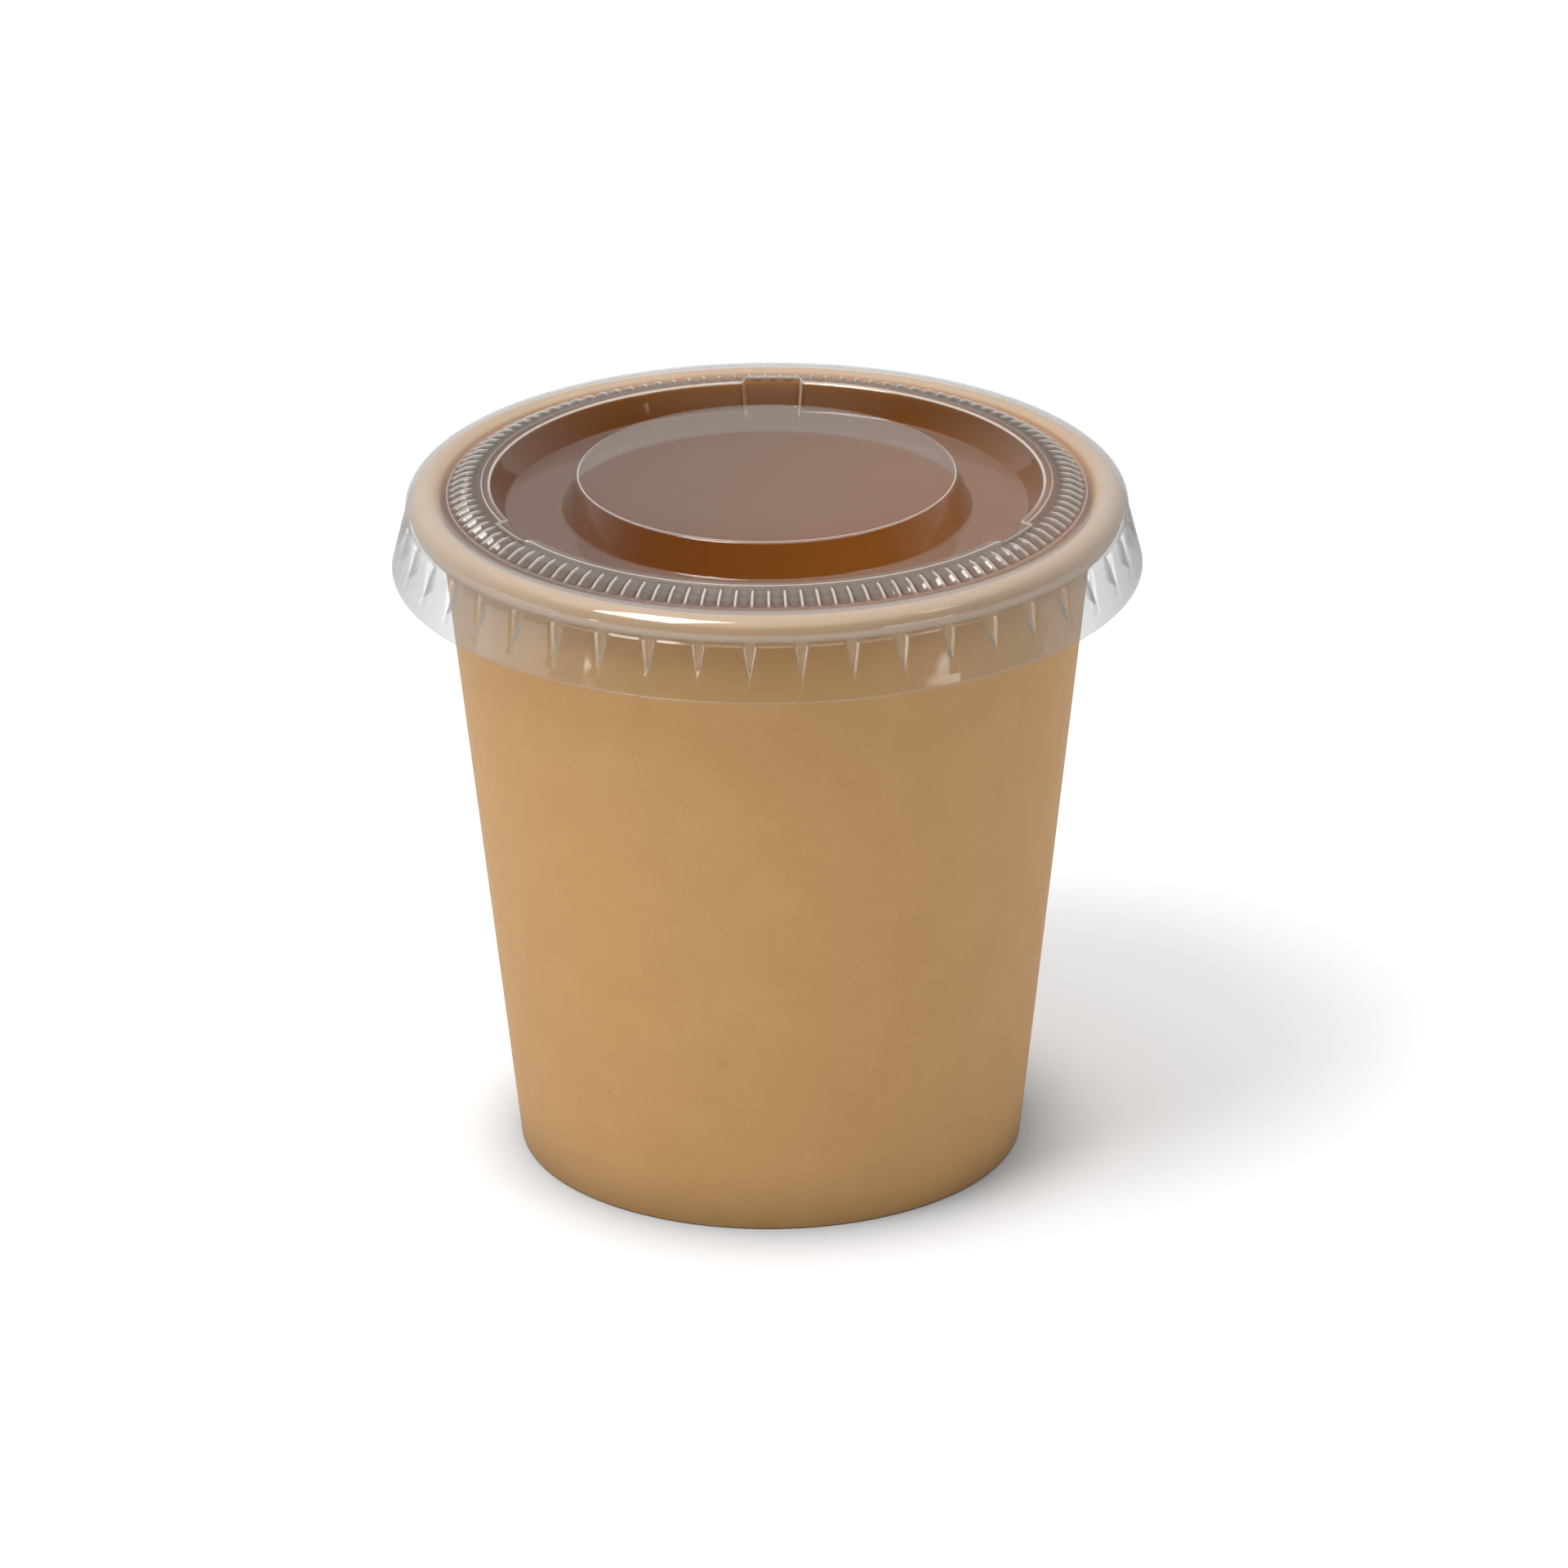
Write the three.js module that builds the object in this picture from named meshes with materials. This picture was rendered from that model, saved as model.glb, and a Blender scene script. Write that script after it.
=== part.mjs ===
// A small paper portion cup with its clear press-fit lid, standing upright and empty.
//
// Millimetres, +Z up. The origin is the centre of the foot, on the surface that the cup stands on.
// Three pieces, as on the real thing:
//   cup_wall  one wrapped sheet of board: cone, curled rim, lap seam, and the hem folded in at the foot
//   cup_base  the recessed disc of board, its flange turned down into the hem
//   lid       one formed film: raised centre, channel with three pockets, bead over the rim, flared
//             skirt whose pressed-in lugs catch under the rim
// All of them are surfaces of revolution with a local change here and there, so each piece is made of
// rings: one loop of points round the axis for each corner of its section.

import * as THREE from "three";

// ---------------------------------------------------------------- driving dimensions

// Board of the cup
const PAPER = 0.4; // thickness
const GAP = 0.2; // clearance between pieces that touch on the real cup
const FOOT_RADIUS = 22.75; // outside of the wall at the floor
const TAPER = 0.1082; // radius that the wall gains for each mm of height
const FOOT_ROUND = 0.2; // softened edges of the fold that the cup stands on
const RIM_FOOT = 58.75; // height at which the wall begins to turn out into the curl

// Curled rim: the sheet turns over outwards and comes back under, an oval in section
const CURL_RADIUS = 30.17; // from the cup's axis to the middle of the oval
const CURL_HEIGHT = 60.75; // height of the middle of the oval
const CURL_HALF_WIDTH = 1.25;
const CURL_HALF_HEIGHT = 1.3;
const CURL_END = -120; // degrees round the oval where the sheet's edge stops, short of the wall

// Lap seam, at the back
const SEAM_ANGLE = 90; // direction of its cut edge
const SEAM_WIDTH = 14; // degrees of wall that are two sheets thick
const SEAM_STEP = 0.3; // how far the outer sheet stands proud
const SEAM_EDGE = 0.4; // degrees over which the cut edge rises
const SEAM_FADE = 4; // degrees over which the outer sheet settles back
const SEAM_TOP = 55.75; // height where the lap begins to flatten towards the rim
const SEAM_END = 57.75; // height where it is flat

// Recessed base and the hem that holds it
const BASE_TOP = 5.6; // height of the disc's upper face
const BASE_PAPER = 0.35;
const FLANGE_FOOT = 0.7; // height of the flange's lower edge
const HEM_TOP = 5.0;
const FOLD_FLOOR = 0.4; // thickness of the fold under the flange
const BASE_BEND = 0.3; // softened edge between the disc and its flange

// Lid, all heights to its upper face
const FILM = 0.3;
const BEND = 0.25; // softened corners of the film
const LID_TOP = 63.8; // raised centre
const BOSS_RADIUS = 17.1;
const BOSS_FOOT_RADIUS = 18.2;
const CHANNEL_FLOOR = 60.65;
const CHANNEL_RADIUS = 23.4; // outside of the channel's floor
const LAND_RADIUS = 24.5; // inside of the land that rings the channel
const LAND_HEIGHT = 63.0;
const LAND_WIDTH = 1.0;
const SHOULDER_RADIUS = 28.5; // where the land has rounded down to the plain ring
const RING_HEIGHT = 62.2;
const RING_RADIUS = 29.1; // outside of the plain ring's underside
const BEAD_TOP_RADIUS = 30.45;
const BEAD_TOP = 62.6;
const BEAD_OUTER_RADIUS = 32.25;
const BEAD_HALF_HEIGHT = 1.8;
const NECK_RADIUS = 31.75; // under the bead, above the skirt
const NECK_HEIGHT = 59.75;
const SKIRT_TOP_RADIUS = 32.5;
const SKIRT_TOP = 59.35;
const SKIRT_RADIUS = 33.55; // at its lower edge
const SKIRT_FOOT = 55.25;

// Pockets pressed outwards into the channel's wall
const POCKETS = 3;
const POCKET_ANGLE = 88.75; // direction of the first one
const POCKET_DEPTH = 1.0;
const POCKET_HALF_WIDTH = 6.4; // degrees
const POCKET_CORNER = 2.2; // degrees that each end takes to reach full depth
const POCKET_LIP = 0.7; // share of the depth that the land's outer edge leaves out

// Lugs pressed inwards under the bead, wide at the top and pointed at the bottom
const LUGS = 45;
const LUG_ANGLE = 251.3; // direction of the first one
const LUG_HALF_WIDTH = 2.2; // degrees, at the top
const LUG_TIP_HEIGHT = 56.9;
const LUG_DEPTH = 0.9; // at the top
const LUG_MIDDLE_SHARE = 0.8; // of that depth, halfway down
const LUG_TIP_SHARE = 0.25; // and at the tip
const LUG_TIP_WIDTH = 0.15; // share of the top's width left at the tip

const COLUMNS = 48; // flats round each piece

// ---------------------------------------------------------------- rings and skins

const degrees = (list) => [...list].sort((a, b) => a - b);

// Angle from one direction to another, between -180 and 180.
function turn(from, to) {
  return ((((to - from) % 360) + 540) % 360) - 180;
}

// Rises smoothly from 0 to 1 as x goes from a to b.
function ease(x, a, b) {
  const t = THREE.MathUtils.clamp((x - a) / (b - a), 0, 1);
  return t * t * (3 - 2 * t);
}

// One corner of a section, carried round the axis. A corner on the axis is a single point.
function ring(radius, height, columns, shift = () => 0) {
  if (radius === 0) return { points: [new THREE.Vector3(0, 0, height)], angles: [0] };
  const points = columns.map((angle) => {
    const a = THREE.MathUtils.degToRad(angle);
    const r = radius + shift(angle, radius, height);
    return new THREE.Vector3(r * Math.cos(a), r * Math.sin(a), height);
  });
  return { points, angles: columns };
}

// Corners of a section along an oval, at these directions from its middle.
function oval(radius, height, halfWidth, halfHeight, angles) {
  return angles.map((angle) => {
    const a = THREE.MathUtils.degToRad(angle);
    return [radius + halfWidth * Math.cos(a), height + halfHeight * Math.sin(a)];
  });
}

// Triangles between two rings, which may have different numbers of columns. Walking both by angle,
// each step takes the ring whose next column comes first.
function band(lower, upper, emit) {
  const n = lower.points.length;
  const m = upper.points.length;
  let i = 0;
  let j = 0;
  while (i < (n > 1 ? n : 0) || j < (m > 1 ? m : 0)) {
    const nextLower = n > 1 && i < n ? (lower.angles[i + 1] ?? lower.angles[0] + 360) : Infinity;
    const nextUpper = m > 1 && j < m ? (upper.angles[j + 1] ?? upper.angles[0] + 360) : Infinity;
    if (nextLower <= nextUpper) {
      emit(lower.points[i % n], lower.points[(i + 1) % n], upper.points[j % m]);
      i += 1;
    } else {
      emit(lower.points[i % n], upper.points[(j + 1) % m], upper.points[j % m]);
      j += 1;
    }
  }
}

// A closed skin through the rings in order. A section that starts and ends on the axis is closed by
// its two end points, and any other is closed from its last ring to its first.
function skin(rings) {
  const corners = [];
  const emit = (a, b, c) => corners.push(a, b, c);
  for (let k = 1; k < rings.length; k += 1) band(rings[k - 1], rings[k], emit);
  if (rings[0].points.length > 1) band(rings.at(-1), rings[0], emit);
  return new THREE.BufferGeometry().setFromPoints(corners);
}

const EVEN_COLUMNS = Array.from({ length: COLUMNS }, (_, k) => (k * 360) / COLUMNS);

// ---------------------------------------------------------------- cup wall

const wallOuter = (height) => FOOT_RADIUS + TAPER * height;
const wallInner = (height) => wallOuter(height) - PAPER;
const flangeOuter = (height) => wallInner(height) - GAP;
const flangeInner = (height) => flangeOuter(height) - BASE_PAPER;
const hemOuter = (height) => flangeInner(height) - GAP;
const hemInner = (height) => hemOuter(height) - PAPER;

// The curl's oval, drawn in by so much from its outside.
function curl(angles, inset = 0) {
  return oval(CURL_RADIUS, CURL_HEIGHT, CURL_HALF_WIDTH - inset, CURL_HALF_HEIGHT - inset, angles);
}

// The outer sheet's extra radius at the lap. It fades out where the rim is rolled.
function seamShift(angle, radius, height) {
  const past = turn(SEAM_ANGLE, angle);
  const lap = ease(past, 0, SEAM_EDGE) * (1 - ease(past, SEAM_WIDTH - SEAM_FADE, SEAM_WIDTH));
  const onOutside = radius > wallOuter(height) - PAPER / 2 ? 1 : 0;
  return SEAM_STEP * lap * onOutside * (1 - ease(height, SEAM_TOP, SEAM_END));
}

function makeCupWall() {
  const seamColumns = [0, SEAM_EDGE, SEAM_WIDTH - SEAM_FADE, SEAM_WIDTH].map((a) => SEAM_ANGLE + a);
  const plain = EVEN_COLUMNS.filter((a) => turn(SEAM_ANGLE, a) < 0 || turn(SEAM_ANGLE, a) > SEAM_WIDTH);
  const columns = degrees([...plain, ...seamColumns]);

  const section = [
    [hemInner(FOOT_ROUND) + FOOT_ROUND, 0],
    [wallOuter(0) - FOOT_ROUND, 0],
    [wallOuter(FOOT_ROUND), FOOT_ROUND],
    [wallOuter(SEAM_TOP), SEAM_TOP],
    [wallOuter(RIM_FOOT), RIM_FOOT],
    ...curl([180, 130, 90, 45, 0, -60, CURL_END], PAPER),
    ...curl([CURL_END, -90, -50, -10, 30, 65, 90, 125, 180]),
    [wallInner(FOLD_FLOOR), FOLD_FLOOR],
    [hemOuter(FOLD_FLOOR), FOLD_FLOOR],
    [hemOuter(HEM_TOP), HEM_TOP],
    [hemInner(HEM_TOP), HEM_TOP],
    [hemInner(FOOT_ROUND), FOOT_ROUND],
  ];
  return skin(section.map(([radius, height]) => ring(radius, height, columns, seamShift)));
}

// ---------------------------------------------------------------- cup base

function makeCupBase() {
  const underside = BASE_TOP - BASE_PAPER;
  const section = [
    [0, underside],
    [flangeInner(underside) - BASE_BEND, underside],
    [flangeInner(underside - BASE_BEND), underside - BASE_BEND],
    [flangeInner(FLANGE_FOOT), FLANGE_FOOT],
    [flangeOuter(FLANGE_FOOT), FLANGE_FOOT],
    [flangeOuter(BASE_TOP - BASE_BEND), BASE_TOP - BASE_BEND],
    [flangeOuter(BASE_TOP) - BASE_BEND, BASE_TOP],
    [0, BASE_TOP],
  ];
  return skin(section.map(([radius, height]) => ring(radius, height, EVEN_COLUMNS)));
}

// ---------------------------------------------------------------- lid

const pocketAngles = Array.from({ length: POCKETS }, (_, k) => (POCKET_ANGLE + (k * 360) / POCKETS) % 360);
const lugAngles = Array.from({ length: LUGS }, (_, k) => (LUG_ANGLE + (k * 360) / LUGS) % 360);

// How much of a pocket's depth there is in a direction.
function pocketAt(angle) {
  const off = Math.min(...pocketAngles.map((centre) => Math.abs(turn(centre, angle))));
  return 1 - ease(off, POCKET_HALF_WIDTH - POCKET_CORNER, POCKET_HALF_WIDTH);
}

// The channel's wall and the land's inner edge move outwards at a pocket, and the land's outer edge a
// little, so that the land runs on as a narrow lip.
function pocketShift(angle, radius) {
  const landEnd = LAND_RADIUS + LAND_WIDTH;
  const floorEdge = ease(radius, (BOSS_FOOT_RADIUS + CHANNEL_RADIUS) / 2, CHANNEL_RADIUS - BEND);
  const lipEdge = 1 - POCKET_LIP * ease(radius, LAND_RADIUS, landEnd);
  const beyond = 1 - ease(radius, landEnd, landEnd + LAND_WIDTH);
  return POCKET_DEPTH * pocketAt(angle) * floorEdge * lipEdge * beyond;
}

// Radius of the skirt at a height, between its top and its foot.
function skirtRadius(height) {
  return THREE.MathUtils.mapLinear(height, SKIRT_TOP, SKIRT_FOOT, SKIRT_TOP_RADIUS, SKIRT_RADIUS);
}

// Columns through the lugs at a height: the two edges and the valley of each.
function lugColumns(height) {
  const open = THREE.MathUtils.mapLinear(height, LUG_TIP_HEIGHT, SKIRT_TOP, LUG_TIP_WIDTH, 1);
  const side = LUG_HALF_WIDTH * open;
  return degrees(lugAngles.flatMap((centre) => [centre - side, centre, centre + side]));
}

// One ring of lugs: each valley stands this far inside the skirt, and its edges on it.
function lugRing(height, inset, depth) {
  const inValley = (angle) => lugAngles.includes(angle);
  return ring(skirtRadius(height) - inset, height, lugColumns(height), (angle) =>
    inValley(angle) ? -depth : 0,
  );
}

// Rings of the skirt from the neck down, for the film's outer face (inset 0) or its inner one.
function skirtRings(inset, columns) {
  return [
    lugRing(SKIRT_TOP, inset, LUG_DEPTH),
    lugRing((SKIRT_TOP + LUG_TIP_HEIGHT) / 2, inset, LUG_DEPTH * LUG_MIDDLE_SHARE),
    lugRing(LUG_TIP_HEIGHT, inset, LUG_DEPTH * LUG_TIP_SHARE),
    ring(SKIRT_RADIUS - inset, SKIRT_FOOT, columns),
  ];
}

// The land rounds down to the plain ring along a quarter of an oval, which the film's lower face
// follows inside it, and so does the bead over the cup's rim.
function shoulder(angles, inset = 0) {
  const start = LAND_RADIUS + LAND_WIDTH;
  const width = SHOULDER_RADIUS - start - inset;
  return oval(start, RING_HEIGHT, width, LAND_HEIGHT - RING_HEIGHT - inset, angles);
}

function bead(angles, inset = 0) {
  const width = BEAD_OUTER_RADIUS - BEAD_TOP_RADIUS - inset;
  const middle = BEAD_TOP - BEAD_HALF_HEIGHT;
  return oval(BEAD_TOP_RADIUS, middle, width, BEAD_HALF_HEIGHT - inset, angles);
}

// Columns of the lid's top: even ones, with closer ones across each pocket.
function lidColumns() {
  const full = POCKET_HALF_WIDTH - POCKET_CORNER;
  const half = POCKET_HALF_WIDTH - POCKET_CORNER / 2;
  const across = [-POCKET_HALF_WIDTH, -half, -full, 0, full, half, POCKET_HALF_WIDTH];
  const plain = EVEN_COLUMNS.filter((angle) =>
    pocketAngles.every((centre) => Math.abs(turn(centre, angle)) > POCKET_HALF_WIDTH),
  );
  return degrees([...plain, ...pocketAngles.flatMap((centre) => across.map((a) => centre + a))]);
}

function makeLid() {
  const landEnd = LAND_RADIUS + LAND_WIDTH;
  const upper = [
    [0, LID_TOP],
    [BOSS_RADIUS - BEND, LID_TOP],
    [BOSS_RADIUS, LID_TOP - BEND],
    [BOSS_FOOT_RADIUS - BEND / 2, CHANNEL_FLOOR + BEND],
    [BOSS_FOOT_RADIUS + BEND, CHANNEL_FLOOR],
    [CHANNEL_RADIUS, CHANNEL_FLOOR],
    [CHANNEL_RADIUS + BEND, CHANNEL_FLOOR + BEND],
    [LAND_RADIUS - BEND / 2, LAND_HEIGHT - BEND],
    [LAND_RADIUS + BEND / 2, LAND_HEIGHT],
    [landEnd, LAND_HEIGHT],
    ...shoulder([60, 35, 8]),
    [SHOULDER_RADIUS + BEND, RING_HEIGHT],
    ...bead([128, 110, 90, 60, 30, 0]),
    [NECK_RADIUS, NECK_HEIGHT],
  ];
  const lower = [
    [NECK_RADIUS - FILM, NECK_HEIGHT],
    ...bead([0, 30, 60, 90, 120], FILM),
    [RING_RADIUS, RING_HEIGHT - FILM],
    [SHOULDER_RADIUS, RING_HEIGHT - FILM],
    ...shoulder([35, 60], FILM),
    [landEnd, LAND_HEIGHT - FILM],
    [LAND_RADIUS + BEND, LAND_HEIGHT - FILM],
    [LAND_RADIUS + BEND / 2, LAND_HEIGHT - FILM - BEND],
    [CHANNEL_RADIUS + FILM + BEND / 2, CHANNEL_FLOOR],
    [CHANNEL_RADIUS + BEND / 2, CHANNEL_FLOOR - FILM],
    [BOSS_FOOT_RADIUS - FILM + BEND / 2, CHANNEL_FLOOR - FILM],
    [BOSS_RADIUS - FILM - BEND / 2, LID_TOP - FILM],
    [0, LID_TOP - FILM],
  ];
  const columns = lidColumns();
  const revolve = (section) =>
    section.map(([radius, height]) => ring(radius, height, columns, pocketShift));
  const rings = [
    ...revolve(upper),
    ...skirtRings(0, columns),
    ...skirtRings(FILM, columns).reverse(),
    ...revolve(lower),
  ];
  return skin(rings.reverse());
}

// ---------------------------------------------------------------- the cup with its lid

function piece(name, geometry, material) {
  geometry.computeVertexNormals();
  const mesh = new THREE.Mesh(geometry, material);
  mesh.name = name;
  return mesh;
}

const kraft = new THREE.MeshStandardMaterial({ color: 0xb98e5d, roughness: 0.8, metalness: 0 });
const kraftBase = new THREE.MeshStandardMaterial({ color: 0xa87e50, roughness: 0.8, metalness: 0 });
const clearFilm = new THREE.MeshStandardMaterial({ color: 0xe8edee, roughness: 0.08, metalness: 0 });
clearFilm.transparent = true;
clearFilm.opacity = 0.35;

const cup = new THREE.Group();
cup.add(piece("cup_wall", makeCupWall(), kraft));
cup.add(piece("cup_base", makeCupBase(), kraftBase));
cup.add(piece("lid", makeLid(), clearFilm));

export default cup;
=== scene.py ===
# %% [markdown]
# # A paper portion cup under its clear lid
#
# The real object is three sheets. A sheet of brown kraft board is wrapped into a cone, lapped at
# the back, rolled over at the rim and folded in at the foot. A small disc of the same board, with
# its edge turned down, is its base. A thin clear film, formed over a mould, is the lid.
#
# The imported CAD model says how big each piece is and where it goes. It comes in as a fixed frame,
# and each of its three solids is replaced by a finer mesh with a real finish.

import math
import random

import bpy
from mathutils import Matrix, Vector


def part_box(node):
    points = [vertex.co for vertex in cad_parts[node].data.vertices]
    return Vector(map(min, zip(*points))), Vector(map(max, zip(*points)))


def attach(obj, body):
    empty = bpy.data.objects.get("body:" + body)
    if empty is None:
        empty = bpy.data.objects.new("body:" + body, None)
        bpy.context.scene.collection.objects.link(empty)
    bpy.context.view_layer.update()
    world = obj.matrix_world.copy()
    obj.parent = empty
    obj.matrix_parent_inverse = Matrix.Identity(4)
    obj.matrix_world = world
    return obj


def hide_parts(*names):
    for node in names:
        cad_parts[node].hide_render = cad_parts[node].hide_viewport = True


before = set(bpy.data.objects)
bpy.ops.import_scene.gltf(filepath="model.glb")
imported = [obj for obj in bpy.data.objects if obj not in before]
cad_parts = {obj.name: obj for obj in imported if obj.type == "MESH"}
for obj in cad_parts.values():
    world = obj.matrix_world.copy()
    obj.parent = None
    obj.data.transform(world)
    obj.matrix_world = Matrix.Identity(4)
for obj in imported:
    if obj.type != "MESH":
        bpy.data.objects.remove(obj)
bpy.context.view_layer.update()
print("CAD nodes:", sorted(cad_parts))

# %% [markdown]
# ## The camera
#
# The photograph was taken from far away with a long lens, looking down at about 23 degrees. A long
# lens keeps the rings of cup and lid close to true ellipses. The camera aims a little above and
# to the right of the cup's middle, which sets the cup slightly low and left in the frame.

# %% Camera
MM = 0.001
CAMERA_HEIGHT_ANGLE = math.radians(22.97)
CAMERA_DISTANCE = 921.3 * MM
CAMERA_ROLL = math.radians(-0.35)
LOOKED_AT = Vector((0, 0, 31.7 * MM))
AIM_RIGHT = 1.37 * MM
AIM_UP = 1.75 * MM
FIELD_WIDTH = 141.5 * MM  # what the frame takes in, at the cup's distance
SENSOR_WIDTH = 36.0


def add_camera():
    looking = Vector((0, math.cos(CAMERA_HEIGHT_ANGLE), -math.sin(CAMERA_HEIGHT_ANGLE)))
    right = Vector((1, 0, 0))
    up = right.cross(looking)
    data = bpy.data.cameras.new("camera")
    data.sensor_width = SENSOR_WIDTH
    data.lens = SENSOR_WIDTH * CAMERA_DISTANCE / FIELD_WIDTH
    camera = bpy.data.objects.new("camera", data)
    turn = Matrix((right, up, -looking)).transposed() @ Matrix.Rotation(CAMERA_ROLL, 3, "Z")
    place = LOOKED_AT - looking * CAMERA_DISTANCE + right * AIM_RIGHT + up * AIM_UP
    camera.matrix_world = Matrix.Translation(place) @ turn.to_4x4()
    bpy.context.scene.collection.objects.link(camera)
    bpy.context.scene.camera = camera
    return camera


camera = add_camera()
print("lens:", round(camera.data.lens, 1), "mm")

# %% [markdown]
# ## Writing node trees as sums
#
# Both the shapes and the finishes below are node trees. Wiring each Math node by hand hides the
# idea, so one small class wraps an output socket and lets Python's own operators add the nodes:
# `1 - mask * 0.5` adds two Math nodes. It works in a shader tree and in a geometry tree alike.

# %% Value: a socket that can be calculated with
class Value:
    """An output socket. Arithmetic on it adds Math nodes to its tree."""

    def __init__(self, socket):
        self.socket = socket
        self.tree = socket.id_data

    def __getitem__(self, name):
        return Value(self.socket.node.outputs[name])

    def math(self, operation, *others):
        node = self.tree.nodes.new("ShaderNodeMath")
        node.operation = operation
        for slot, value in zip(node.inputs, (self, *others)):
            plug(slot, value)
        return Value(node.outputs[0])

    def __add__(self, other): return self.math("ADD", other)
    def __radd__(self, other): return self.math("ADD", other)
    def __sub__(self, other): return self.math("SUBTRACT", other)
    def __rsub__(self, other): return (self * -1).math("ADD", other)
    def __mul__(self, other): return self.math("MULTIPLY", other)
    def __rmul__(self, other): return self.math("MULTIPLY", other)
    def __truediv__(self, other): return self.math("DIVIDE", other)
    def __rtruediv__(self, other): return self ** -1 * other
    def __pow__(self, other): return self.math("POWER", other)
    def __abs__(self): return self.math("ABSOLUTE")
    def __mod__(self, other): return self.math("FLOORED_MODULO", other)
    def floor(self): return self.math("FLOOR")
    def least(self, other): return self.math("MINIMUM", other)
    def most(self, other): return self.math("MAXIMUM", other)


def plug(slot, value):
    """Links a Value to an input, or sets the input to a plain number, colour or object."""
    if isinstance(value, Value):
        slot.id_data.links.new(value.socket, slot)
    else:
        slot.default_value = value


class Tree:
    """A node tree in the making. node() adds anything that isn't arithmetic, end() the last node."""

    def __init__(self, tree):
        self.tree = tree

    def node(self, kind, settings=None, sockets=None):
        made = self.tree.nodes.new(kind)
        for name, setting in (settings or {}).items():
            setattr(made, name, setting)
        for name, value in (sockets or {}).items():
            if isinstance(name, int):
                plug(made.inputs[name], value)
            else:
                plug(next(slot for slot in made.inputs if slot.enabled and slot.name == name), value)
        return Value(next(slot for slot in made.outputs if slot.enabled))

    def end(self, kind, value):
        plug(self.tree.nodes.new(kind).inputs[0], value)

    def ease(self, value, start, end, low=0.0, high=1.0):
        """Goes smoothly from low to high as value goes from start to end."""
        settings = {"interpolation_type": "SMOOTHSTEP"}
        sockets = {"Value": value, "From Min": start, "From Max": end, "To Min": low, "To Max": high}
        return self.node("ShaderNodeMapRange", settings, sockets)


print("node helpers ready")

# %% [markdown]
# ## A section carried round the axis
#
# Cup, base and lid are all turned shapes: one section, swept round the axis, with local changes
# such as a seam or a row of flutes. A lathe made with the Screw modifier could only make the plain
# shape, and the changes would have to be modelled on top of it. Instead each piece has two small
# helper meshes: the section, whose points carry what should happen along the profile, and the
# columns, whose points carry the angles. Geometry Nodes lays a grid with one row for each section
# point and one column for each angle, works out where each crossing goes, and moves it there.
#
# A plain stretch of the section doesn't need every column. Its points carry a `skip`, and its
# crossings snap to each skip-th column. Merging then drops the spare ones.

# %% Points of a section
def point(radius, height, **marks):
    """A corner of a section, in mm, with marks for what happens there."""
    return {"radius": radius, "height": height, **marks}


def oval(radius, height, half_width, half_height, start, end, steps, bend=0.0, **marks):
    """Corners along an arc of an oval, between two directions. Its bend is strongest at the middle."""
    corners = []
    for k in range(steps + 1):
        a = math.radians(start + (end - start) * k / steps)
        tight = bend * max(0.0, 1 - 2 * abs(2 * k - steps) / steps)
        x, y = radius + half_width * math.cos(a), height + half_height * math.sin(a)
        corners.append(point(x, y, bend=tight, **marks))
    return corners


def line(start, end, steps, **marks):
    """Corners along a straight stretch, without its two ends."""
    return [
        point(*(a + (b - a) * k / steps for a, b in zip(start, end)), **marks)
        for k in range(1, steps)
    ]


def spread(section, **marks):
    """Gives every corner that has no such mark of its own the value stated here."""
    return [{**marks, **corner} for corner in section]


def with_normals(section):
    """Adds the direction that points to the left of the way along the section."""
    made = []
    for k, corner in enumerate(section):
        before = section[k - 1] if k else corner
        after = section[k + 1] if k + 1 < len(section) else corner
        along = Vector((after["radius"] - before["radius"], after["height"] - before["height"]))
        along = along.normalized() if along.length > 1e-9 else Vector((1, 0))
        made.append({**corner, "normal_radius": -along.y, "normal_height": along.x})
    return made


def helper_mesh(name, places, marks):
    """A loose row of points with one named number of its own for each mark."""
    mesh = bpy.data.meshes.new(name)
    mesh.from_pydata(places, [], [])
    for mark, values in marks.items():
        mesh.attributes.new(mark, "FLOAT", "POINT").data.foreach_set("value", values)
    helper = bpy.data.objects.new(name, mesh)
    bpy.context.scene.collection.objects.link(helper)
    return helper


LENGTH_MARKS = ("radius", "height", "lug_depth", "beyond", "pocket_depth", "lap")


def section_helper(name, section):
    """The section as a helper mesh. A mark that a corner doesn't have is 0 there."""
    marks = {}
    for mark in sorted(set().union(*section)):
        unit = MM if mark in LENGTH_MARKS else 1
        marks[mark] = [corner.get(mark, 0) * unit for corner in section]
    return helper_mesh(name, [(0, 0, k * MM) for k in range(len(section))], marks)


def column_helper(name, angles, **marks):
    places = [(0, 0, k * MM) for k in range(len(angles))]
    return helper_mesh(name, places, {"angle": angles, **marks})


print("section helpers ready")

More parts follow.
